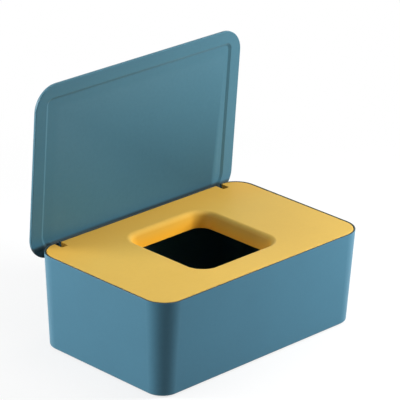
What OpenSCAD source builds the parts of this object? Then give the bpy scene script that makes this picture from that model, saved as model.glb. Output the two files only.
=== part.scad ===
// Countertop wipes dispenser: a drafted case, a lift-out inner cover with a square dispensing funnel,
// and a lid on two arms that is hinged to the cover. All sizes are in millimetres.
// The origin is at the middle of the whole footprint with the lid open, on the surface that the feet
// stand on. +X runs along the long side, +Y to the hinge and +Z up. The lid is drawn open, as far back
// as its arms let it go. The modules are drawn about the middle of the case, which placed() moves forward.

/* [Case] */
// Outer width of the case at the rim
case_w = 188; // [170:1:210]
// Outer depth of the case at the rim
case_d = 120.5; // [112:0.5:140]
// Height of the case from its base to the rim
case_h = 66.8; // [50:0.2:90]
// How far each wall leans in from the rim to the base
case_draft = 3.8; // [2:0.1:5]
// Corner radius at the rim
rim_r = 16.3; // [14:0.1:20]
// Thickness of the walls and the base
wall_t = 1.9; // [1.6:0.1:2.4]
// Thickness of the thin rim that stands round the inner cover
rim_t = 1.05; // [0.95:0.05:1.3]
// Rounding of the outer bottom edge
base_edge_r = 1.5; // [0.5:0.1:2.5]
// Rounding where the inner walls meet the floor
floor_r = 3; // [1:0.5:5]

/* [Inner cover] */
// Thickness of the cover plate
cover_t = 2; // [1.6:0.1:2.6]
// Gap between the cover and the case
cover_gap = 0.45; // [0.3:0.05:0.5]
// Depth of the skirt below the top of the cover
skirt_depth = 11; // [8:0.5:14]
// Thickness of the skirt
skirt_t = 1.5; // [1.2:0.1:2]

/* [Funnel] */
// Width of the square funnel at the top, where its lip begins to roll down
funnel_w = 79.2; // [68:0.2:86]
// Depth of the funnel
funnel_depth = 11; // [9:0.5:14]
// Corner radius of the funnel at the top
funnel_r = 15.6; // [13:0.2:20]
// Radius of the rolled lip
lip_r = 4; // [3:0.5:5]
// Thickness of the funnel wall
funnel_t = 1.6; // [1.2:0.1:2]
// Draft of the funnel wall, in degrees
funnel_draft = 16; // [8:1:20]

/* [Lid] */
// Width of the lid
lid_w = 186; // [168:1:208]
// Depth of the lid, from its hinge edge to its front lip
lid_d = 123.2; // [115:0.2:143]
// Corner radius of the lid
lid_r = 17; // [14:0.5:20]
// Thickness of the lid at its edge
lid_t = 2.6; // [2.4:0.1:3.2]
// Width of the raised border inside the lid, at its sides and its front lip
border_w = 9; // [8:0.5:12]
// Width of the border along the hinge edge, where the sunk panel runs into the cove
hinge_border_w = 3; // [2:0.5:5]
// Depth of the sunk panel inside the border
panel_depth = 1; // [0.8:0.1:1.2]
// Corner radius of the sunk panel at the front lip
panel_r = 5; // [4:0.5:7]
// Corner radius of the sunk panel at the hinge
panel_hinge_r = 15; // [10:0.5:18]
// How far the lid stands open, in degrees from closed
lid_open = 86.8; // [0:0.1:87]

/* [Hinge] */
// Distance between the two lid arms
arm_span = 149.5; // [120:0.5:150]
// Thickness of each arm
arm_t = 4; // [3:0.5:4.5]
// Radius of the knuckle at the end of each arm
knuckle_r = 3.3; // [3:0.1:3.4]
// Depth of the hinge axis below the rim
axis_drop = 8.8; // [8:0.1:9.5]
// Distance of the hinge axis in from the rear face of the case
axis_inset = 4.65; // [4.5:0.05:6]
// Diameter of the hinge pins
pin_d = 2.4; // [2:0.1:2.5]
// Width of the notches in the cover and the slots in the case for the arms
notch_w = 5.5; // [5:0.1:6]

/* [Feet] */
// Diameter of each foot pad
foot_d = 12; // [8:1:16]
// Height that the pads stand proud of the base
foot_drop = 0.8; // [0.5:0.1:1.2]
// Depth of the pockets that the pads are glued into
foot_pocket = 0.6; // [0.4:0.1:0.8]

/* [Hidden] */
$fn = 64;
over = 1; // overrun of a cutting tool past the face that it cuts
set_forward = 3.6; // of the case, half of what the open lid reaches past the rear of the case

teal = [0.33, 0.5, 0.57];
yellow = [0.86, 0.7, 0.36];
steel = [0.72, 0.73, 0.75];
pad_grey = [0.24, 0.25, 0.26];

rim_z = foot_drop + case_h;
corner_x = case_w / 2 - rim_r; // the axes that the corners of the case and the cover turn about
corner_y = case_d / 2 - rim_r;
base_r = rim_r - case_draft;
seat_z = rim_z - cover_t; // the step inside the rim that the cover rests on
rim_inner_r = rim_r - rim_t;
rim_round = 0.4;

skirt_z = rim_z - skirt_depth;
cover_edge_r = rim_inner_r - cover_gap;
cover_round = 0.5;

funnel_axis = funnel_w / 2 - funnel_r; // the axes that the corners of the funnel turn about
mouth_z = rim_z - funnel_depth;
mouth_round = 0.5;
under_r = 1.5; // rounding under the lip, where the funnel wall meets the plate

axis_y = case_d / 2 - axis_inset;
axis_z = rim_z - axis_drop;
lid_gap = 0.2; // between the rim and the closed lid
lid_lift = axis_drop + lid_gap; // the inner face of the lid over the hinge axis
lid_rear = knuckle_r + 0.15; // the lid's hinge edge behind the axis
cove_r = norm([axis_inset, axis_drop]); // reach of the rear rim from the axis, which the lid's cove clears
cove_half = 80; // half the length of the cove at its full depth
cove_fade = 11; // length of the cone that fades the cove out at each end
lid_round_out = 1.2;
lid_round_in = 0.5;
panel_slope_w = 2; // width of the sloping step round the sunk panel
panel_round = 0.6;
arm_haunch = 1.2; // height of the sloping haunch where an arm meets the lid

pin_fit = 0.05; // radial play of the pins in the cover's ears
ear_t = 2.8;
ear_r = 3;
ear_reach = 7.5; // the ears' length forward of the hinge axis
boss_r = 2.6;
boss_play = 0.2; // between a boss and the arm
notch_front = 4.6; // the notch's end forward of the hinge axis
notch_r = 0.8;
notch_lip_r = 0.9; // rounding of the cover's corners beside the notch
slot_clear = 0.2; // below the knuckle
slot_r = 1;
pin_len = notch_w + 2 * ear_t;
pin_chamfer = 0.3;

foot_t = foot_drop + foot_pocket;
foot_x = 72;
foot_y = 38;
foot_play = 0.1;
base_panel = [112, 84]; // the shallow field in the underside of the case
base_panel_r = 8;
base_panel_depth = 0.5;

function unit(v) = v / norm(v);
// Radius of the case's outer wall from the corner axes at height z
function wall_r(z) = rim_r - case_draft * (rim_z - z) / case_h;

// The sliver between a corner p and a round of radius r that touches the edges towards a and b. It
// reaches a little past p, so that a cut with it leaves no skin.
module corner_waste(p, a, b, r) {
    da = unit(a - p);
    db = unit(b - p);
    half = acos(da * db) / 2;
    t = r / tan(half);
    c = p + unit(da + db) * r / sin(half);
    difference() {
        polygon([p + unit(p - c) * 0.2, p + da * t, c, p + db * t]);
        translate(c) circle(r);
    }
}

// Carries a profile, drawn as distance from the corner axes and height, round a rounded rectangle
module around(cx, cy) {
    for (mx = [0, 1], my = [0, 1])
        mirror([mx, 0, 0]) mirror([0, my, 0])
            translate([cx, cy, 0]) rotate_extrude(angle = 90) children();
    for (m = [0, 1]) {
        mirror([m, 0, 0]) translate([cx, 0, 0])
            rotate([90, 0, 0]) linear_extrude(2 * cy, center = true) children();
        mirror([0, m, 0]) translate([0, cy, 0])
            rotate([90, 0, 90]) linear_extrude(2 * cx, center = true) children();
    }
}

// The flat middle that joins what around() makes
module core(cx, cy, z, t) {
    translate([-cx, -cy, z]) cube([2 * cx, 2 * cy, t]);
}

module left_and_right() {
    for (m = [0, 1]) mirror([m, 0, 0]) children();
}

// ---- case ----

module case_profile() {
    foot_in = [base_r, foot_drop];
    top_out = [rim_r, rim_z];
    top_in = [rim_inner_r, rim_z];
    floor_in = [wall_r(foot_drop + wall_t) - wall_t, foot_drop + wall_t];
    seat_in = [wall_r(seat_z) - wall_t, seat_z];
    difference() {
        polygon([
            [0, foot_drop], foot_in, top_out, top_in, [rim_inner_r, seat_z], seat_in, floor_in,
            [0, foot_drop + wall_t]
        ]);
        corner_waste(foot_in, [0, foot_drop], top_out, base_edge_r);
        corner_waste(top_out, foot_in, top_in, rim_round);
        corner_waste(top_in, top_out, [rim_inner_r, seat_z], rim_round / 2);
    }
    corner_waste(floor_in, seat_in, [0, foot_drop + wall_t], floor_r);
}

// The opening in the rear wall that one arm swings through, open at the rim
module arm_slot() {
    low = axis_z - knuckle_r - slot_clear;
    high = rim_z + over;
    left = -notch_w / 2;
    right = notch_w / 2;
    translate([arm_span / 2, case_d / 2 + over, 0]) rotate([90, 0, 0])
        linear_extrude(axis_inset) difference() {
            polygon([[left, low], [right, low], [right, high], [left, high]]);
            corner_waste([left, low], [right, low], [left, high], slot_r);
            corner_waste([right, low], [left, low], [right, high], slot_r);
        }
}

module base_field() {
    x = base_panel[0] / 2 - base_panel_r;
    y = base_panel[1] / 2 - base_panel_r;
    around(x, y) square([base_panel_r, foot_drop + base_panel_depth]);
    core(x, y, 0, foot_drop + base_panel_depth);
}

module foot_pockets() {
    for (x = [-foot_x, foot_x], y = [-foot_y, foot_y])
        translate([x, y, 0]) cylinder(h = foot_t, d = foot_d + 2 * foot_play);
}

module outer_case() {
    color(teal) difference() {
        union() {
            around(corner_x, corner_y) case_profile();
            core(corner_x, corner_y, foot_drop, wall_t);
        }
        left_and_right() arm_slot();
        base_field();
        foot_pockets();
    }
}

// ---- inner cover ----

module cover_profile() {
    top_out = [cover_edge_r, rim_z];
    skirt_out_top = wall_r(seat_z) - wall_t - cover_gap;
    skirt_out_low = wall_r(skirt_z) - wall_t - cover_gap;
    difference() {
        polygon([
            [0, rim_z], top_out, [cover_edge_r, seat_z], [skirt_out_top, seat_z],
            [skirt_out_low, skirt_z], [skirt_out_low - skirt_t, skirt_z],
            [skirt_out_top - skirt_t, seat_z], [0, seat_z]
        ]);
        corner_waste(top_out, [0, rim_z], [cover_edge_r, seat_z], cover_round);
    }
}

// The funnel wall and its rolled lip, from the flat top of the cover down to the mouth
module funnel_profile() {
    lean = tan(funnel_draft);
    brow = [funnel_r - lip_r * tan((90 - funnel_draft) / 2), rim_z];
    mouth = brow - [lean, 1] * funnel_depth;
    mouth_back = mouth + [funnel_t / cos(funnel_draft), 0];
    bend = mouth_back + [lean, 1] * (seat_z - mouth_z);
    difference() {
        polygon([[funnel_r, rim_z], brow, mouth, mouth_back, bend, [funnel_r, seat_z]]);
        corner_waste(brow, [funnel_r, rim_z], mouth, lip_r);
        corner_waste(mouth, brow, mouth_back, mouth_round);
    }
    corner_waste(bend, mouth_back, [funnel_r, seat_z], under_r);
}

// The notch that an arm stands in, open at the cover's rear edge
module arm_notch() {
    front = axis_y - notch_front;
    rear = corner_y + cover_edge_r;
    half = notch_w / 2;
    translate([arm_span / 2, 0, skirt_z - over]) linear_extrude(skirt_depth + 2 * over) {
        difference() {
            polygon([[-half, front], [half, front], [half, rear + over], [-half, rear + over]]);
            corner_waste([-half, front], [half, front], [-half, rear], notch_r);
            corner_waste([half, front], [-half, front], [half, rear], notch_r);
        }
        for (side = [-1, 1])
            corner_waste([side * half, rear], [side * half, front], [side * notch_w, rear], notch_lip_r);
    }
}

module cover_plate() {
    difference() {
        union() {
            around(corner_x, corner_y) cover_profile();
            core(corner_x, corner_y, seat_z, cover_t);
        }
        around(funnel_axis, funnel_axis) translate([0, seat_z - over]) square([funnel_r, cover_t + 2 * over]);
        core(funnel_axis, funnel_axis, seat_z - over, cover_t + 2 * over);
        left_and_right() arm_notch();
    }
}

// One of the two ears that hold a pin, with the boss that faces the arm
module ear() {
    skirt_y = corner_y + wall_r(axis_z) - wall_t - cover_gap - skirt_t / 2;
    low = axis_z - ear_r;
    front = axis_y - ear_r;
    rotate([90, 0, 90]) linear_extrude(ear_t) difference() {
        polygon([
            [axis_y - ear_reach, seat_z], [front, axis_z + ear_r / 2], [front, low], [skirt_y, low],
            [skirt_y, seat_z]
        ]);
        corner_waste([front, low], [front, seat_z], [skirt_y, low], ear_r * 0.9);
    }
    boss_h = (notch_w - arm_t) / 2 - boss_play;
    translate([-boss_h, axis_y, axis_z]) rotate([0, 90, 0]) cylinder(h = boss_h, r = boss_r);
}

module inner_cover() {
    color(yellow) difference() {
        union() {
            cover_plate();
            around(funnel_axis, funnel_axis) funnel_profile();
            left_and_right() translate([arm_span / 2, 0, 0]) for (m = [0, 1])
                mirror([m, 0, 0]) translate([notch_w / 2, 0, 0]) ear();
        }
        left_and_right() translate([(arm_span - pin_len) / 2, axis_y, axis_z]) rotate([0, 90, 0])
            cylinder(h = pin_len, r = pin_d / 2 + pin_fit);
    }
}

// ---- lid, drawn closed about the hinge axis and then turned open ----

module lid_profile() {
    out_low = [lid_r, 0];
    out_high = [lid_r, lid_t];
    difference() {
        polygon([[0, 0], out_low, out_high, [0, lid_t]]);
        corner_waste(out_low, [0, 0], out_high, lid_round_in);
        corner_waste(out_high, out_low, [0, lid_t], lid_round_out);
    }
}

// Half of the sunk panel's section, from the axis of a corner of radius r out to the border
module panel_profile(r) {
    lip = [0, 0];
    step = [-panel_slope_w, panel_depth];
    outside = [over, 0];
    translate([r, 0]) {
        difference() {
            polygon([[-r, -over], [over, -over], outside, lip, step, [-r, panel_depth]]);
            corner_waste(step, lip, [-r, panel_depth], panel_round);
        }
        corner_waste(lip, outside, step, panel_round);
    }
}

// The sunk panel, as it is cut out of the lid's inner face. Its corners are rounder at the hinge.
module sunk_panel() {
    side = lid_w / 2 - border_w;
    low = border_w + panel_r - lid_d / 2; // the sides run straight from here up to the rounds at the hinge
    high = lid_d / 2 - hinge_border_w - panel_hinge_r;
    left_and_right() {
        translate([side - panel_r, low, 0]) mirror([0, 1, 0])
            rotate_extrude(angle = 90) panel_profile(panel_r);
        translate([side - panel_hinge_r, high, 0])
            rotate_extrude(angle = 90) panel_profile(panel_hinge_r);
        translate([side - panel_hinge_r, (low + high) / 2, 0]) rotate([90, 0, 0])
            linear_extrude(high - low, center = true) panel_profile(panel_hinge_r);
    }
    translate([0, low, 0]) mirror([0, 1, 0]) rotate([90, 0, 90])
        linear_extrude(2 * (side - panel_r), center = true) panel_profile(panel_r);
    translate([0, high, 0]) rotate([90, 0, 90])
        linear_extrude(2 * (side - panel_hinge_r), center = true) panel_profile(panel_hinge_r);
    translate([panel_hinge_r - side, low, -over])
        cube([2 * (side - panel_hinge_r), high - low, panel_depth + over]);
}

module lid_plate() {
    cx = lid_w / 2 - lid_r;
    cy = lid_d / 2 - lid_r;
    difference() {
        union() {
            around(cx, cy) lid_profile();
            core(cx, cy, 0, lid_t);
        }
        sunk_panel();
    }
}

// The cove along the lid's hinge edge, about the hinge axis, which passes over the rim as the lid swings
module lid_cove() {
    left_and_right() rotate([0, 90, 0]) {
        cylinder(h = cove_half, r = cove_r);
        translate([0, 0, cove_half]) cylinder(h = cove_fade, r1 = cove_r, r2 = lid_lift - 0.3);
    }
}

module lid_arm() {
    root = lid_lift + panel_depth;
    top = lid_lift + lid_t - 0.8;
    toe = 0.3; // of the haunch, inside the lid
    rotate([90, 0, 90]) linear_extrude(arm_t, center = true) {
        circle(knuckle_r);
        polygon([
            [-knuckle_r, 0], [knuckle_r, 0], [knuckle_r, top], [-knuckle_r - arm_haunch - toe, top],
            [-knuckle_r - arm_haunch - toe, root + toe], [-knuckle_r, root - arm_haunch]
        ]);
    }
}

module lid() {
    color(teal) translate([0, axis_y, axis_z]) rotate([-lid_open, 0, 0]) difference() {
        union() {
            difference() {
                translate([0, lid_rear - lid_d / 2, lid_lift]) lid_plate();
                lid_cove();
            }
            left_and_right() translate([arm_span / 2, 0, 0]) lid_arm();
        }
        translate([-case_w / 2, 0, 0]) rotate([0, 90, 0]) cylinder(h = case_w, d = pin_d);
    }
}

// ---- hinge pins and feet ----

module hinge_pin(side) {
    color(steel) translate([side * arm_span / 2 - pin_len / 2, axis_y, axis_z]) rotate([0, 90, 0]) {
        cylinder(h = pin_chamfer, d1 = pin_d - 2 * pin_chamfer, d2 = pin_d);
        translate([0, 0, pin_chamfer]) cylinder(h = pin_len - 2 * pin_chamfer, d = pin_d);
        translate([0, 0, pin_len - pin_chamfer])
            cylinder(h = pin_chamfer, d1 = pin_d, d2 = pin_d - 2 * pin_chamfer);
    }
}

module foot(side_x, side_y) {
    color(pad_grey) translate([side_x * foot_x, side_y * foot_y, 0]) cylinder(h = foot_t, d = foot_d);
}

module placed() {
    translate([0, -set_forward, 0]) children();
}

placed() outer_case();
placed() inner_cover();
placed() lid();
placed() hinge_pin(-1);  // hinge_pin_left
placed() hinge_pin(1);  // hinge_pin_right
placed() foot(-1, -1);  // foot_front_left
placed() foot(1, -1);  // foot_front_right
placed() foot(-1, 1);  // foot_rear_left
placed() foot(1, 1);  // foot_rear_right
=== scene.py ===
from math import ceil, cos, degrees, hypot, pi, radians, sin, tan

import bmesh
import bpy
from mathutils import Matrix, Vector


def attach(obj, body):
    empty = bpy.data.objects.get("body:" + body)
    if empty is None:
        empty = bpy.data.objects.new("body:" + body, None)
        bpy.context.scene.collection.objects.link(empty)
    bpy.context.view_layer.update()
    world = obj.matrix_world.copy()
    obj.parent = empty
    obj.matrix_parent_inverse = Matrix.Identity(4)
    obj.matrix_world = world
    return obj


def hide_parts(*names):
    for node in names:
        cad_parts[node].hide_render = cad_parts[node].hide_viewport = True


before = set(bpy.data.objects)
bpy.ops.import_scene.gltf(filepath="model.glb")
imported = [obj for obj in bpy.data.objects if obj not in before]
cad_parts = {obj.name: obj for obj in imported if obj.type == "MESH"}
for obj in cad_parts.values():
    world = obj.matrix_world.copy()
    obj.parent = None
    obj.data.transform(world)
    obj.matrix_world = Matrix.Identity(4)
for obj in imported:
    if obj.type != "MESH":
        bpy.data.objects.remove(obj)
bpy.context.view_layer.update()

# ---- the view and the light ----
# A long lens from the front left, a little above the box. One softbox stands to the right of the box and one
# far to its left, which leaves the corner that faces the lens dark. A wide one hangs overhead, and a faint
# one fills in.

VIEW_FROM = Vector((-1.19498, -1.17846, 0.79192))
VIEW_YAW, VIEW_PITCH, VIEW_ROLL = radians(45.44), radians(22.58), radians(1.34)
LENS_MM, SENSOR_MM, LENS_SHIFT = 249.94, 36.0, (-0.00165, 0.00100)
MIDDLE = Vector((0, 0, 0.06))

lens = bpy.data.cameras.new("view")
lens.lens, lens.sensor_width = LENS_MM, SENSOR_MM
lens.shift_x, lens.shift_y = LENS_SHIFT
lens.clip_start, lens.clip_end = 0.05, 20
view = bpy.data.objects.new("view", lens)
view.matrix_world = (Matrix.Translation(VIEW_FROM) @ Matrix.Rotation(-VIEW_YAW, 4, "Z")
                     @ Matrix.Rotation(pi / 2 - VIEW_PITCH, 4, "X") @ Matrix.Rotation(VIEW_ROLL, 4, "Z"))
bpy.context.scene.collection.objects.link(view)
bpy.context.scene.camera = view
bpy.context.scene.view_settings.view_transform = "Standard"


def softbox(name, place, width, height, watts, gleams=True):
    """A lamp that faces the box. Where it doesn't gleam, it isn't mirrored in what it lights."""
    lamp = bpy.data.lights.new(name, "AREA")
    lamp.shape, lamp.size, lamp.size_y, lamp.energy = "RECTANGLE", width, height, watts
    made = bpy.data.objects.new(name, lamp)
    aim = (MIDDLE - Vector(place)).to_track_quat("-Z", "Y")
    made.matrix_world = Matrix.Translation(place) @ aim.to_matrix().to_4x4()
    made.visible_glossy = gleams
    bpy.context.scene.collection.objects.link(made)


softbox("softbox_right", (0.40, -0.35, 0.30), 0.25, 0.25, 4.35, gleams=False)
softbox("softbox_left", (-0.82, 0.78, 0.30), 0.5, 0.9, 17.2)
softbox("softbox_fill", (-0.60, 0.15, 0.35), 0.3, 0.4, 0.9)
softbox("softbox_top", (0.15, -0.05, 1.25), 1.1, 1.1, 5.9)


class Signal:
    """One output in a tree of nodes. Sums on it add Math nodes, and node() adds any other node."""

    def __init__(self, tree, socket=None):
        self.tree, self.socket = tree, socket

    def node(self, kind, settings=(), sockets=(), out=0):
        made = self.tree.nodes.new(kind if "Node" in kind else "ShaderNode" + kind)
        for name, value in dict(settings).items():
            setattr(made, name, value)
        for name, value in dict(sockets).items():
            if isinstance(value, Signal):
                self.tree.links.new(value.socket, made.inputs[name])
            else:
                made.inputs[name].default_value = value
        return Signal(self.tree, made.outputs[out]) if len(made.outputs) else None

    def entry(self, name):
        """One of the named inputs of a tree of geometry nodes."""
        return self.node("NodeGroupInput", out=name)

    def math(self, operation, *others):
        return self.node("Math", {"operation": operation}, enumerate((self, *others)))

    def __add__(self, other):
        return self.math("ADD", other)

    def __sub__(self, other):
        return self.math("SUBTRACT", other)

    def __rsub__(self, other):
        return self * -1 + other

    def __mul__(self, other):
        return self.math("MULTIPLY", other)

    def __truediv__(self, other):
        return self.math("DIVIDE", other)

    __radd__, __rmul__ = __add__, __mul__

    def between(self, low, high):
        """0 below low, 1 above high, and a soft step in between."""
        return self.node("MapRange", {"interpolation_type": "SMOOTHSTEP"},
                         {"Value": self, "From Min": low, "From Max": high})

    def mix(self, first, second):
        """The second colour where this mask is 1, and the first where it is 0."""
        first, second = [(*c, 1) if isinstance(c, tuple) and len(c) == 3 else c for c in (first, second)]
        return self.node("Mix", {"data_type": "RGBA"}, {0: self, 6: first, 7: second}, out=2)


def new_finish(name):
    """An empty material, and a Signal to start its nodes from."""
    finish = bpy.data.materials.new(name)
    finish.use_nodes = True
    finish.node_tree.nodes.clear()
    return finish, Signal(finish.node_tree)


def shown(ink):
    """1 for what the lens sees, straight, in a reflection or through something clear."""
    straight, gleam, through = (ink.node("LightPath", out=ray) for ray in (
        "Is Camera Ray", "Is Glossy Ray", "Is Transmission Ray"))
    return (straight + gleam + through).math("MINIMUM", 1.0)


# The room is bare white to the lens and dark to the object. The paper under it catches its soft shadow,
# and glows out to the same white further off.
SWEEP_HALF = 3
PAPER_GREY, WHITE = (0.32, 0.32, 0.32), (1.0, 1.0, 1.0)
NEAR, FAR, NEAR_GLOW = 0.16, 0.42, 0.75  # the glow has this share up to NEAR, and is whole from FAR
room = bpy.data.worlds.new("room")
bpy.context.scene.world = room
room.use_nodes = True
room.node_tree.nodes.clear()
air = Signal(room.node_tree)
air.node("OutputWorld", sockets={"Surface": air.node("Background", sockets={
    "Color": (1, 1, 1, 1), "Strength": shown(air)})})

floor_mesh = bpy.data.meshes.new("sweep")
corners = [(x * SWEEP_HALF, y * SWEEP_HALF, 0) for x, y in ((-1, -1), (1, -1), (1, 1), (-1, 1))]
floor_mesh.from_pydata(corners, [], [(0, 1, 2, 3)])
sweep = bpy.data.objects.new("sweep", floor_mesh)
bpy.context.scene.collection.objects.link(sweep)
paper, ink = new_finish("sweep_paper")
seen = shown(ink)
where = ink.node("TexCoord", out="Object")
away = ink.node("VectorMath", {"operation": "LENGTH"}, {0: where}, out="Value").between(NEAR, FAR)
matt = ink.node("BsdfDiffuse", sockets={"Color": seen.mix(PAPER_GREY, WHITE)})
glow = ink.node("Emission", sockets={"Color": (1, 1, 1, 1), "Strength": 1.0})
ink.node("OutputMaterial", sockets={"Surface": ink.node("MixShader", sockets={
    0: seen * (NEAR_GLOW + (1 - NEAR_GLOW) * away), 1: matt, 2: glow})})
floor_mesh.materials.append(paper)

# ---- outer case ----
# An injection-moulded box of satin teal ABS, with drafted walls and rounded corners. A thin rim stands
# round the step that the inner cover sits on, and the rear wall is slotted for the lid's two arms.

# All sizes are in millimetres, about the middle of the case, which stands CASE_FORWARD of the origin.
CASE_FORWARD = 3.6
FOOT_DROP = 0.8
CASE_W, CASE_D, CASE_H = 188.0, 120.5, 66.8
RIM_Z = FOOT_DROP + CASE_H
RIM_R, DRAFT = 16.3, 3.8
WALL, RIM_T, COVER_T, GAP = 1.9, 1.05, 2.0, 0.45
SEAT_Z = RIM_Z - COVER_T
AXIS_INSET, AXIS_DROP = 4.65, 8.8
AXIS_Y, AXIS_Z = CASE_D / 2 - AXIS_INSET, RIM_Z - AXIS_DROP
ARM_SPAN, ARM_T, KNUCKLE_R, NOTCH_W = 149.5, 4, 3.3, 5.5
CORNER_STEPS, SHOULDER, ARC_STEP = 20, 0.4, 7  # ARC_STEP in degrees
FLAT_R = 2  # corner radius of the flat middle, which is filled in
OVER, ABOVE = 1, 70  # how far a cutting tool reaches past a face, and where it ends over the rim
CASE_PLACE = Matrix.Diagonal((0.001, 0.001, 0.001, 1)) @ Matrix.Translation((0, -CASE_FORWARD, 0))
SIZES = ("Half width", "Front", "Rear", "Front radius", "Rear radius")


def new_tree(name, inputs):
    """An empty tree of geometry nodes with named inputs, and a Signal to start its nodes from."""
    tree = bpy.data.node_groups.new(name, "GeometryNodeTree")
    for entry, kind in inputs.items():
        tree.interface.new_socket(name=entry, in_out="INPUT", socket_type="NodeSocket" + kind)
    tree.interface.new_socket(name="Solid", in_out="OUTPUT", socket_type="NodeSocketGeometry")
    return tree, Signal(tree)


def finish_tree(ink, solid, material):
    """Ends a tree: its instances become real, and take their material."""
    real = ink.node("GeometryNodeRealizeInstances", sockets={0: solid})
    dressed = ink.node("GeometryNodeSetMaterial", sockets={"Geometry": real, "Material": material})
    ink.node("NodeGroupOutput", sockets={"Solid": dressed})


def section_carrier():
    """Carries a section round a rectangle that has its own corner radii at the front and at the rear.

    The section's points give how far out of the rectangle they lie, and their height. Each point may have
    a rectangle of its own. A narrow shoulder beside each corner keeps the straight walls flat."""
    tree, ink = new_tree("section_carrier", {
        "Section": "Geometry", **dict.fromkeys(SIZES, "Float"), "Corner steps": "Int", "Shoulder": "Float",
        "Closed": "Int", "Plastic": "Material"})
    section, steps = ink.entry("Section"), ink.entry("Corner steps")
    points = ink.node("GeometryNodeAttributeDomainSize", {"component": "MESH"}, {"Geometry": section})
    columns, per_corner = points + ink.entry("Closed"), steps + 3
    grid = ink.node("GeometryNodeMeshGrid", sockets={
        "Vertices X": per_corner * 4 + 1, "Vertices Y": columns})
    index = ink.node("GeometryNodeInputIndex")
    place = index.math("MODULO", columns).math("MODULO", points)
    row = (index / columns).math("FLOOR")
    corner = (row / per_corner).math("FLOOR")
    along = row - corner * per_corner - 1
    swept = along.math("MAXIMUM", 0.0).math("MINIMUM", steps)
    angle = (corner + swept / steps) * (pi / 2)
    shoulder = (along.math("GREATER_THAN", steps) - along.math("LESS_THAN", 0.0)) * ink.entry("Shoulder")
    aim = (corner + 0.5) * (pi / 2)
    side, end = aim.math("COSINE").math("SIGN"), aim.math("SINE").math("SIGN")
    rear = end * 0.5 + 0.5

    def sampled(value, data_type="FLOAT"):
        return ink.node("GeometryNodeSampleIndex", {"data_type": data_type, "domain": "POINT"},
                        {"Geometry": section, "Value": value, "Index": place})

    half_width, front, back, front_r, rear_r = (sampled(ink.entry(size)) for size in SIZES)
    spot = sampled(ink.node("GeometryNodeInputPosition"), "FLOAT_VECTOR")
    out, height = (ink.node("SeparateXYZ", sockets={"Vector": spot}, out=axis) for axis in "XZ")
    half_depth, turn_r = front + rear * (back - front), front_r + rear * (rear_r - front_r)
    x = side * (half_width - turn_r) + (turn_r + out) * angle.math("COSINE") - shoulder * angle.math("SINE")
    y = end * (half_depth - turn_r) + (turn_r + out) * angle.math("SINE") + shoulder * angle.math("COSINE")
    carried = ink.node("GeometryNodeSetPosition", sockets={
        "Geometry": grid, "Position": ink.node("CombineXYZ", sockets={"X": x, "Y": y, "Z": height})})
    joined = ink.node("GeometryNodeMergeByDistance", sockets={"Geometry": carried, "Distance": 0.001})
    finish_tree(ink, joined, ink.entry("Plastic"))
    return tree


def grow(name, mesh, tree, inputs):
    """The piece that a tree makes of a mesh. An input given as a word reads the attribute of that name."""
    piece = bpy.data.objects.new(name, mesh)
    bpy.context.scene.collection.objects.link(piece)
    growth = piece.modifiers.new("growth", "NODES")
    growth.node_group = tree
    for entry in tree.interface.items_tree:
        if isinstance(inputs.get(entry.name), str):
            growth[entry.identifier + "_use_attribute"] = True
            growth[entry.identifier + "_attribute_name"] = inputs[entry.name]
        elif entry.name in inputs:
            growth[entry.identifier] = inputs[entry.name]
    piece.data = bpy.data.meshes.new_from_object(piece.evaluated_get(bpy.context.evaluated_depsgraph_get()))
    piece.modifiers.clear()
    dressing = [material for material in piece.data.materials if material]
    piece.data.materials.clear()
    for material in dressing:
        piece.data.materials.append(material)
    piece.data.polygons.foreach_set("material_index", [0] * len(piece.data.polygons))
    return piece


def outline(corners, closed=False, beside=0.05):
    """Points along a section: each corner is (distance, height, radius), and true arcs fill the radii."""
    points = []
    count = len(corners)
    for i, (x, z, radius) in enumerate(corners):
        here = Vector((x, z))
        if radius == 0 or (not closed and i in (0, count - 1)):
            points.append(here)
            continue
        back = Vector(corners[i - 1][:2]) - here
        on = Vector(corners[(i + 1) % count][:2]) - here
        half = back.angle(on) / 2
        reach = radius / tan(half)
        centre = here + (back.normalized() + on.normalized()).normalized() * radius / sin(half)
        start, end = here + back.normalized() * reach, here + on.normalized() * reach
        turn = pi - 2 * half
        steps = max(4, ceil(degrees(turn) / ARC_STEP))
        side = 1 if (start - centre).cross(end - centre) > 0 else -1
        points.append(start + back.normalized() * min(beside, (back.length - reach) / 3))
        points += [centre + Matrix.Rotation(side * turn * k / steps, 2) @ (start - centre)
                   for k in range(steps + 1)]
        points.append(end + on.normalized() * min(beside, (on.length - reach) / 3))
    return points


carrier = section_carrier()


def moulding(name, plastic, *bands, closed=False):
    """A shell whose section is drawn in bands, each a rectangle's sizes and (outward, height) points."""
    mesh = bpy.data.meshes.new(name)
    mesh.from_pydata([(p.x, 0, p.y) for _, section in bands for p in section], [], [])
    for i, size in enumerate(SIZES):
        sizes = mesh.attributes.new(size, "FLOAT", "POINT")
        sizes.data.foreach_set("value", [rectangle[i] for rectangle, section in bands for _ in section])
    piece = grow(name, mesh, carrier, {
        **{size: size for size in SIZES}, "Corner steps": CORNER_STEPS, "Shoulder": SHOULDER,
        "Closed": int(closed), "Plastic": plastic})
    shell = bmesh.new()
    shell.from_mesh(piece.data)
    bmesh.ops.holes_fill(shell, edges=shell.edges)
    bmesh.ops.recalc_face_normals(shell, faces=shell.faces)
    shell.to_mesh(piece.data)
    shell.free()
    return piece


def solid_object(shell, place):
    """The shell as an object, moved to its place, with its faces turned outward."""
    bmesh.ops.recalc_face_normals(shell, faces=shell.faces)
    shell.transform(place)
    mesh = bpy.data.meshes.new("solid")
    shell.to_mesh(mesh)
    shell.free()
    made = bpy.data.objects.new("solid", mesh)
    bpy.context.scene.collection.objects.link(made)
    return made


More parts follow.
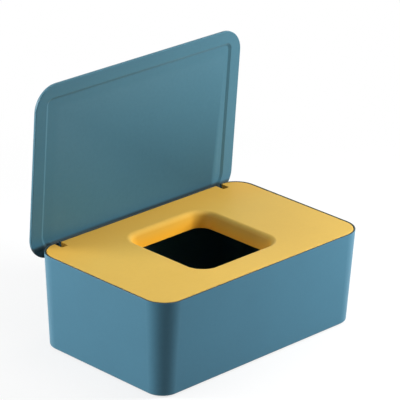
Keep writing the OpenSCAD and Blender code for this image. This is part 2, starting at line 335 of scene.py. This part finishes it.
def bar(section, place, low, high, soften=0):
    """A straight bar along its own Z, with (x, y) points for its section, and softened ends."""
    shell = bmesh.new()
    ends = [[shell.verts.new((p[0], p[1], z)) for p in section] for z in (low, high)]
    caps = [shell.faces.new(end) for end in ends]
    for a in range(len(section)):
        b = (a + 1) % len(section)
        shell.faces.new((ends[0][a], ends[0][b], ends[1][b], ends[1][a]))
    if soften:
        bmesh.ops.bevel(shell, geom=list({e for cap in caps for e in cap.edges}), offset=soften, segments=3,
                        profile=0.5, affect="EDGES")
    return solid_object(shell, place)


def circle(radius, middle=(0, 0), steps=72):
    """Points round a circle."""
    return [(middle[0] + radius * cos(2 * pi * k / steps), middle[1] + radius * sin(2 * pi * k / steps))
            for k in range(steps)]


def turned(section, place=Matrix(), steps=72):
    """A solid turned about Z from (radius, height) points, and closed flat at both ends."""
    shell = bmesh.new()
    loops = [[shell.verts.new((x, y, z)) for x, y in circle(r, steps=steps)] for r, z in section]
    for one, two in zip(loops, loops[1:]):
        for a in range(steps):
            b = (a + 1) % steps
            shell.faces.new((one[a], one[b], two[b], two[a]))
    shell.faces.new(loops[0])
    shell.faces.new(loops[-1])
    return solid_object(shell, place)


def machine(piece, tools, operation="DIFFERENCE"):
    """Cuts the tools out of the piece, or joins them to it, and throws the tools away."""
    for tool in tools:
        cut = piece.modifiers.new("cut", "BOOLEAN")
        cut.operation, cut.solver, cut.object = operation, "EXACT", tool
    piece.data = bpy.data.meshes.new_from_object(piece.evaluated_get(bpy.context.evaluated_depsgraph_get()))
    piece.modifiers.clear()
    for tool in tools:
        bpy.data.objects.remove(tool)


def settle(piece, place, shaded=lambda x, y, z: 0, sharp=35):
    """Smooths what is round, marks rounded edges and the points that get painted shade, and puts the piece in
    its place.
    """
    shell = bmesh.new()
    shell.from_mesh(piece.data)
    bmesh.ops.remove_doubles(shell, verts=shell.verts, dist=1e-4)
    bmesh.ops.dissolve_degenerate(shell, edges=shell.edges, dist=1e-4)
    turn, shade = shell.verts.layers.float.new("edge_turn"), shell.verts.layers.float.new("shade")
    for face in shell.faces:
        face.smooth = True
    for vert in shell.verts:
        bends = [e.calc_face_angle_signed(0) for e in vert.link_edges if len(e.link_faces) == 2]
        narrow = min((2 * f.calc_area() / max(f.calc_perimeter(), 1e-6) for f in vert.link_faces),
                     default=1)
        vert[turn] = max((b for b in bends if abs(b) < radians(sharp)), default=0) / max(narrow, 0.01)
        vert[shade] = shaded(*vert.co)
    shell.transform(place)
    shell.to_mesh(piece.data)
    shell.free()
    piece.data.name = piece.name
    piece.data.set_sharp_from_angle(angle=radians(sharp))


PAINTED_SHADE = (0.035, 0.033, 0.024)  # painted shade: the dark grey mixed into the rim's top and inner side round the cover, and into the box's inside
SHEEN = 0.2
TEAL, TEAL_DEEP = (0.070, 0.209, 0.300), (0.066, 0.197, 0.284)


def by_points(ink, where):
    """The painted shade that settle() marked on the mesh."""
    return ink.node("Attribute", {"attribute_name": "shade"}, out="Fac")


def moulded_plastic(name, colour, deep, dry=0.46, shade=PAINTED_SHADE, shaded=by_points):
    """Satin moulded plastic: fine grain, slow flow marks, edges rubbed paler and smoother, and painted shade
    where shaded marks it.
    """
    finish, ink = new_finish(name)
    where = ink.node("TexCoord", out="Object")
    flow = ink.node("TexNoise", sockets={"Vector": where, "Scale": 22.0, "Detail": 3.0, "Roughness": 0.55})
    mottle = ink.node("TexNoise", sockets={"Vector": where, "Scale": 420.0, "Detail": 2.0})
    grain = ink.node("TexNoise", sockets={"Vector": where, "Scale": 2600.0, "Detail": 2.0, "Roughness": 0.6})
    turn = ink.node("Attribute", {"attribute_name": "edge_turn"}, out="Fac")
    rubbed = turn.between(0.15, 0.6) * (0.45 + 0.55 * mottle)
    base = (flow * 0.6 + mottle * 0.4).between(0.3, 0.7).mix(deep, colour)
    base = (rubbed * 0.35).mix(base, tuple(min(1, c * 1.1 + 0.015) for c in colour))
    base = shaded(ink, where).mix(base, shade)
    rough = dry + 0.07 * (mottle - 0.5) + 0.05 * (flow - 0.5) - 0.08 * rubbed
    bump = ink.node("Bump", sockets={
        "Strength": 0.22, "Distance": 0.00003, "Height": grain * 0.7 + mottle * 0.3})
    skin = ink.node("BsdfPrincipled", sockets={
        "Base Color": base, "Roughness": rough, "Normal": bump, "IOR": 1.5, "Specular IOR Level": SHEEN})
    ink.node("OutputMaterial", sockets={"Surface": skin})
    return finish


def wall_out(z):
    """How far the outer wall lies out of the rim's outline at a height."""
    return -DRAFT * (RIM_Z - z) / CASE_H


BASE_EDGE_R, RIM_ROUND, FLOOR_R = 1.5, 0.4, 3
rim_outline = (CASE_W / 2, CASE_D / 2, CASE_D / 2, RIM_R, RIM_R)
floor_z = FOOT_DROP + WALL
case_section = outline([
    (FLAT_R - RIM_R, FOOT_DROP, 0), (-DRAFT, FOOT_DROP, BASE_EDGE_R), (0, RIM_Z, RIM_ROUND),
    (-RIM_T, RIM_Z, RIM_ROUND / 2), (-RIM_T, SEAT_Z, 0), (wall_out(SEAT_Z) - WALL, SEAT_Z, 0),
    (wall_out(floor_z) - WALL, floor_z, FLOOR_R), (FLAT_R - RIM_R, floor_z, 0)])
outer_case = moulding("case_shell", moulded_plastic("teal_case_plastic", TEAL, TEAL_DEEP),
                      (rim_outline, case_section))

SLOT_CLEAR, SLOT_R = 0.2, 1
slot_low = AXIS_Z - KNUCKLE_R - SLOT_CLEAR
slot = outline([(-NOTCH_W / 2, slot_low, SLOT_R), (NOTCH_W / 2, slot_low, SLOT_R), (NOTCH_W / 2, ABOVE, 0),
                (-NOTCH_W / 2, ABOVE, 0)], closed=True)
FIELD_W, FIELD_D, FIELD_R, FIELD_DEPTH = 112, 84, 8, 0.5
FOOT_R, FOOT_POCKET, FOOT_PLAY, FOOT_X, FOOT_Y = 6, 0.6, 0.1, 72, 38
pocket_top = FOOT_DROP + FOOT_POCKET
field_outline = (FIELD_W / 2, FIELD_D / 2, FIELD_D / 2, FIELD_R, FIELD_R)
tools = [moulding("field", None, (field_outline, [Vector((0, 0)), Vector((0, FOOT_DROP + FIELD_DEPTH))]))]
for side in (-1, 1):
    slot_place = Matrix.Translation((side * ARM_SPAN / 2, CASE_D / 2 + OVER, 0))
    tools.append(bar(slot, slot_place @ Matrix.Rotation(pi / 2, 4, "X"), 0, AXIS_INSET))
    for y in (-FOOT_Y, FOOT_Y):
        tools.append(bar(circle(FOOT_R + FOOT_PLAY, (side * FOOT_X, y)), Matrix(), 0, pocket_top))
machine(outer_case, tools)

# Painted shade: the rim's top and inner side and the box's inside are darkened in colour.
JOINT_SHADE, INSIDE_SHADE = 0.85, 0.3


def joint_and_inside_shade(x, y, z):
    """Painted shade on the rim's top and inner side, along the dark joint round the cover, and on the box's
    inside.
    """
    out = hypot(max(abs(x) - CASE_W / 2 + RIM_R, 0), max(abs(y) - CASE_D / 2 + RIM_R, 0)) - RIM_R
    if z > RIM_Z - 0.5:
        return JOINT_SHADE * (out < -0.1)
    return INSIDE_SHADE * (floor_z - 0.1 < z < SEAT_Z - 1 and out < wall_out(z) - WALL / 2)


settle(outer_case, CASE_PLACE, joint_and_inside_shade)
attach(outer_case, "case")
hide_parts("outer_case")

# ---- inner cover ----
# A lift-out cover of ochre-yellow ABS, flush inside the rim. Its middle rolls over a soft lip and runs
# down to the square mouth that wipes are pulled through. A skirt centres it, and its ears carry the pins.

EDGE = RIM_T + GAP  # from the rim's outline in to the cover's edge
SKIRT_DEPTH, SKIRT_T = 11, 1.5
SKIRT_Z = RIM_Z - SKIRT_DEPTH
FUNNEL_W, FUNNEL_R, FUNNEL_DEPTH, FUNNEL_T = 79.2, 15.6, 11, 1.6
LIP_R, MOUTH_R, UNDER_R, FUNNEL_DRAFT = 4, 0.5, 1.5, radians(16)
SKIRT_ROOT_R, SKIRT_END_R, UNDER_EDGE_R, COVER_EDGE_R = 0.8, 0.3, 0.2, 0.5
LIP_STRIP, STRIP = 2, 3  # flat strips beside the funnel and the rim, which bridge to each other
OCHRE, OCHRE_DEEP = (0.688, 0.450, 0.093), (0.660, 0.426, 0.085)
AMBER_SHADE, STRIP_AMBER_SHADE = (0.880, 0.420, 0.030), 0.4  # painted warm shade down the funnel, and on the strip by the lid
STRIP_FADE = (0.010, 0.056)  # along Y, in metres
AMBER_SHADE_TOP, AMBER_SHADE_DEPTH = 0.6, 7  # below the rim

lean = Vector((tan(FUNNEL_DRAFT), 1))
brow = Vector((-LIP_R * tan((pi / 2 - FUNNEL_DRAFT) / 2), RIM_Z))
mouth = brow - lean * FUNNEL_DEPTH
mouth_back = mouth + Vector((FUNNEL_T / cos(FUNNEL_DRAFT), 0))
bend = mouth_back + lean * (FUNNEL_DEPTH - COVER_T)
funnel_outline = (FUNNEL_W / 2, FUNNEL_W / 2, FUNNEL_W / 2, FUNNEL_R, FUNNEL_R)
funnel_side = outline([
    (LIP_STRIP, RIM_Z, 0), (*brow, LIP_R), (*mouth, MOUTH_R), (*mouth_back, UNDER_EDGE_R), (*bend, UNDER_R),
    (STRIP, SEAT_Z, 0)])
skirt_top, skirt_low = (wall_out(z) - WALL - GAP for z in (SEAT_Z, SKIRT_Z))
plate_side = outline([
    (skirt_top - SKIRT_T - STRIP, SEAT_Z, 0), (skirt_top - SKIRT_T, SEAT_Z, SKIRT_ROOT_R),
    (skirt_low - SKIRT_T, SKIRT_Z, SKIRT_END_R), (skirt_low, SKIRT_Z, SKIRT_END_R), (skirt_top, SEAT_Z, 0),
    (-EDGE, SEAT_Z, UNDER_EDGE_R), (-EDGE, RIM_Z, COVER_EDGE_R), (-EDGE - STRIP, RIM_Z, 0)])


def warm_shade_in_the_funnel(ink, where):
    """Painted warm shade: the funnel, by its marked points, and a little of the strip in front of the lid."""
    back = ink.node("SeparateXYZ", sockets={"Vector": where}, out="Y")
    return (by_points(ink, where) + STRIP_AMBER_SHADE * back.between(*STRIP_FADE)).math("MINIMUM", 1.0)


ochre_plastic = moulded_plastic("ochre_cover_plastic", OCHRE, OCHRE_DEEP, dry=0.48, shade=AMBER_SHADE,
                                shaded=warm_shade_in_the_funnel)
inner_cover = moulding("cover_with_funnel", ochre_plastic,
                       (funnel_outline, funnel_side), (rim_outline, plate_side), closed=True)

PIN_R, PIN_FIT, BOSS_PLAY = 1.2, 0.05, 0.2
EAR_T, EAR_R, EAR_REACH, EAR_NOSE_R, BOSS_R = 2.8, 3.0, 7.5, 1.0, 2.6
NOTCH_FRONT, NOTCH_R, NOTCH_LIP_R, FLARE = 4.6, 0.8, 0.9, 2
SUNK_IN = 0.5  # how far the ears and bosses are sunk into what they stand on
boss_h = (NOTCH_W - ARM_T) / 2 - BOSS_PLAY
ALONG_X = Matrix(((0, 0, 1, 0), (1, 0, 0, 0), (0, 1, 0, 0), (0, 0, 0, 1)))  # turns a bar's section to (y, z)
skirt_y = CASE_D / 2 + wall_out(AXIS_Z) - WALL - GAP - SKIRT_T / 2
ear = outline([
    (AXIS_Y - EAR_REACH, SEAT_Z + SUNK_IN, 0), (AXIS_Y - EAR_R, AXIS_Z + EAR_R / 2, EAR_NOSE_R),
    (AXIS_Y - EAR_R, AXIS_Z - EAR_R, EAR_R * 0.9), (skirt_y, AXIS_Z - EAR_R, 0),
    (skirt_y, SEAT_Z + SUNK_IN, 0)], closed=True)
half, notch_front, cover_rear = NOTCH_W / 2, AXIS_Y - NOTCH_FRONT, CASE_D / 2 - EDGE + 0.002
notch = outline([
    (half + FLARE, cover_rear + FLARE, 0), (half + FLARE, cover_rear, 0), (half, cover_rear, NOTCH_LIP_R),
    (half, notch_front, NOTCH_R), (-half, notch_front, NOTCH_R), (-half, cover_rear, NOTCH_LIP_R),
    (-half - FLARE, cover_rear, 0), (-half - FLARE, cover_rear + FLARE, 0)], closed=True)
ears, notches, bores = [], [], []
for side in (-1, 1):
    middle = side * ARM_SPAN / 2
    notches.append(bar(notch, Matrix.Translation((middle, 0, 0)), SKIRT_Z - OVER, ABOVE))
    for face in (-1, 1):
        near = middle + face * NOTCH_W / 2
        ears.append(bar(ear, ALONG_X, *sorted((near, near + face * EAR_T))))
        boss_ends = sorted((near - face * boss_h, near + face * SUNK_IN))
        ears.append(bar(circle(BOSS_R, (AXIS_Y, AXIS_Z)), ALONG_X, *boss_ends))
    reach = NOTCH_W / 2 + EAR_T + 0.01
    bores.append(bar(circle(PIN_R + PIN_FIT, (AXIS_Y, AXIS_Z)), ALONG_X, middle - reach, middle + reach))
machine(inner_cover, notches)
machine(inner_cover, ears, "UNION")
machine(inner_cover, bores)
# The funnel's points below the rim get painted warm shade, stronger further down.
settle(inner_cover, CASE_PLACE,
       lambda x, y, z: (max(abs(x), abs(y)) < FUNNEL_W / 2
                        and min(1, max(0, (RIM_Z - AMBER_SHADE_TOP - z) / AMBER_SHADE_DEPTH))))
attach(inner_cover, "cover")
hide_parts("inner_cover")

# ---- lid ----
# A flat lid of the same teal plastic, with a raised border round a sunk panel on its inner side. Two
# arms go down through the notches to the hinge, and a long cove lets its hinge edge pass over the rim.

LID_W, LID_D, LID_R, LID_T, LID_OPEN = 186.0, 123.2, 17.0, 2.6, 86.8
HINGE_EDGE = 0.15  # the lid's edge behind the knuckles
LID_GAP = 0.2  # between the rim and the closed lid
LIFT = AXIS_DROP + LID_GAP  # the inner face over the hinge axis, with the lid closed
LID_OUT_R, LID_IN_R = 1.2, 0.5
BORDER, HINGE_BORDER, SLOPE_W, SUNK = 9, 3, 2, 1
PANEL_R, PANEL_HINGE_R, PANEL_ROUND = 5, 15, 0.6
HAUNCH, TOE, ARM_ROUND, ARM_TOP = 1.2, 0.3, 0.35, 0.8  # ARM_TOP under the lid's outer face
LID_TEAL, LID_TEAL_DEEP = (0.070, 0.190, 0.256), (0.066, 0.179, 0.242)
HINGE_SHADE, SHADE_BELOW, SHADE_BEFORE = 0.75, (0.0650, 0.0674), (0.0622, 0.0628)  # painted shade on the lid's foot: its strength, and where it fades along Z and Y, in metres

# The border is the strip between the two bands, which carry the lid's edge and the panel's.
lid_outline = (LID_W / 2, LID_D / 2, LID_D / 2, LID_R, LID_R)
panel_outline = (LID_W / 2 - BORDER, LID_D / 2 - BORDER, LID_D / 2 - HINGE_BORDER, PANEL_R, PANEL_HINGE_R)
lid_section = outline([
    (FLAT_R - LID_R, LIFT + LID_T, 0), (0, LIFT + LID_T, LID_OUT_R), (0, LIFT, LID_IN_R), (-1.5, LIFT, 0)])
panel_section = outline([
    (1, LIFT, 0), (0, LIFT, PANEL_ROUND), (-SLOPE_W, LIFT + SUNK, PANEL_ROUND), (-4, LIFT + SUNK, 0)])


def shade_by_the_hinge(ink, where):
    """Painted shade on the arms and the foot of the lid's inner side, which stand in the dark behind the
    cover.
    """
    back, height = (ink.node("SeparateXYZ", sockets={"Vector": where}, out=axis) for axis in "YZ")
    return HINGE_SHADE * (1 - height.between(*SHADE_BELOW)) * (1 - back.between(*SHADE_BEFORE))


lid_plastic = moulded_plastic("teal_lid_plastic", LID_TEAL, LID_TEAL_DEEP, dry=0.44, shaded=shade_by_the_hinge)
lid = moulding("lid_plate", lid_plastic, (lid_outline, lid_section), (panel_outline, panel_section))
lid.data.transform(Matrix.Translation((0, KNUCKLE_R + HINGE_EDGE - LID_D / 2, 0)))

# The cove clears the rear rim as the lid swings, and fades out in a cone at each end.
COVE_HALF, COVE_END = 80, 91
cove_r, cone_r = hypot(AXIS_INSET, AXIS_DROP), LIFT - 0.3
cove = turned([(cone_r, -COVE_END), (cove_r, -COVE_HALF), (cove_r, COVE_HALF), (cone_r, COVE_END)], ALONG_X)
machine(lid, [cove])
root, top = LIFT + SUNK, LIFT + LID_T - ARM_TOP
back = -KNUCKLE_R - HAUNCH - TOE
arm = [Vector((KNUCKLE_R * cos(radians(a)), -KNUCKLE_R * sin(radians(a)))) for a in range(0, 181, 6)]
arm += outline([(-KNUCKLE_R, 0, 0), (-KNUCKLE_R, root - HAUNCH, 1), (back, root + TOE, 0), (back, top, 0),
                (KNUCKLE_R, top, 0)])[1:]
arms, holes = [], []
for side in (-1, 1):
    middle = side * ARM_SPAN / 2
    arms.append(bar(arm, ALONG_X, middle - ARM_T / 2, middle + ARM_T / 2, soften=ARM_ROUND))
    holes.append(bar(circle(PIN_R), ALONG_X, middle - ARM_T, middle + ARM_T))
machine(lid, arms, "UNION")
machine(lid, holes)
opened = Matrix.Translation((0, AXIS_Y, AXIS_Z)) @ Matrix.Rotation(-radians(LID_OPEN), 4, "X")
settle(lid, CASE_PLACE @ opened)
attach(lid, "lid")
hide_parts("lid")

# ---- hinge pins ----
# Two short pins of drawn stainless wire with chamfered ends, pressed through the arms.


def drawn_wire():
    """Stainless steel with fine lines along it."""
    finish, ink = new_finish("drawn_wire")
    where = ink.node("TexCoord", out="Object")
    drawn = ink.node("Mapping", sockets={"Vector": where, "Scale": (0.02, 1.0, 1.0)})
    lines = ink.node("TexNoise", sockets={"Vector": drawn, "Scale": 5200.0, "Detail": 3.0})
    tone = lines.between(0.3, 0.7).mix((0.50, 0.51, 0.52), (0.62, 0.63, 0.64))
    bump = ink.node("Bump", sockets={"Strength": 0.2, "Distance": 0.00002, "Height": lines})
    metal = ink.node("BsdfPrincipled", sockets={
        "Base Color": tone, "Metallic": 1.0, "Roughness": 0.24 + 0.14 * lines, "Normal": bump})
    ink.node("OutputMaterial", sockets={"Surface": metal})
    return finish


wire = drawn_wire()
for side in ("left", "right"):
    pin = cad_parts["hinge_pin_" + side]
    pin.data.materials.clear()
    pin.data.materials.append(wire)

# ---- foot pads ----
# Four round pads of matt black rubber with a shallow dish in their undersides, glued into pockets in the
# base of the case.


def pad_rubber():
    """Matt black rubber, gritty and a little dusty."""
    finish, ink = new_finish("pad_rubber")
    where = ink.node("TexCoord", out="Object")
    grit = ink.node("TexNoise", sockets={"Vector": where, "Scale": 1800.0, "Detail": 4.0})
    dust = ink.node("TexNoise", sockets={"Vector": where, "Scale": 160.0, "Detail": 3.0})
    tone = dust.between(0.45, 0.75).mix((0.045, 0.047, 0.050), (0.075, 0.076, 0.078))
    bump = ink.node("Bump", sockets={"Strength": 0.4, "Distance": 0.00005, "Height": grit})
    skin = ink.node("BsdfPrincipled", sockets={
        "Base Color": tone, "Roughness": 0.78 + 0.14 * dust, "Normal": bump, "Specular IOR Level": 0.35})
    ink.node("OutputMaterial", sockets={"Surface": skin})
    return finish


def pad_setter():
    """Sets a pad at each corner of a rectangle."""
    tree, ink = new_tree("pad_setter", {
        "Pad": "Geometry", "Across": "Float", "Deep": "Float", "Rubber": "Material"})
    corners = ink.node("GeometryNodeMeshGrid", sockets={
        "Size X": ink.entry("Across"), "Size Y": ink.entry("Deep"), "Vertices X": 2, "Vertices Y": 2})
    pads = ink.node("GeometryNodeInstanceOnPoints", sockets={"Points": corners, "Instance": ink.entry("Pad")})
    finish_tree(ink, pads, ink.entry("Rubber"))
    return tree


DISH_R, DISH_DEPTH, DISH_SLOPE = 4.2, 0.25, 0.4
pad = turned([(point.x, point.y) for point in outline([
    (DISH_R, DISH_DEPTH, 0), (DISH_R + DISH_SLOPE, 0, 0.2), (FOOT_R, 0, 0.4), (FOOT_R, pocket_top, 0.2),
    (FOOT_R - 1, pocket_top, 0)])])
foot_pads = grow("foot_pads", pad.data, pad_setter(), {
    "Across": 2 * FOOT_X, "Deep": 2 * FOOT_Y, "Rubber": pad_rubber()})
bpy.data.objects.remove(pad)
settle(foot_pads, CASE_PLACE)
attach(foot_pads, "case")
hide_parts("foot_front_left", "foot_front_right", "foot_rear_left", "foot_rear_right")
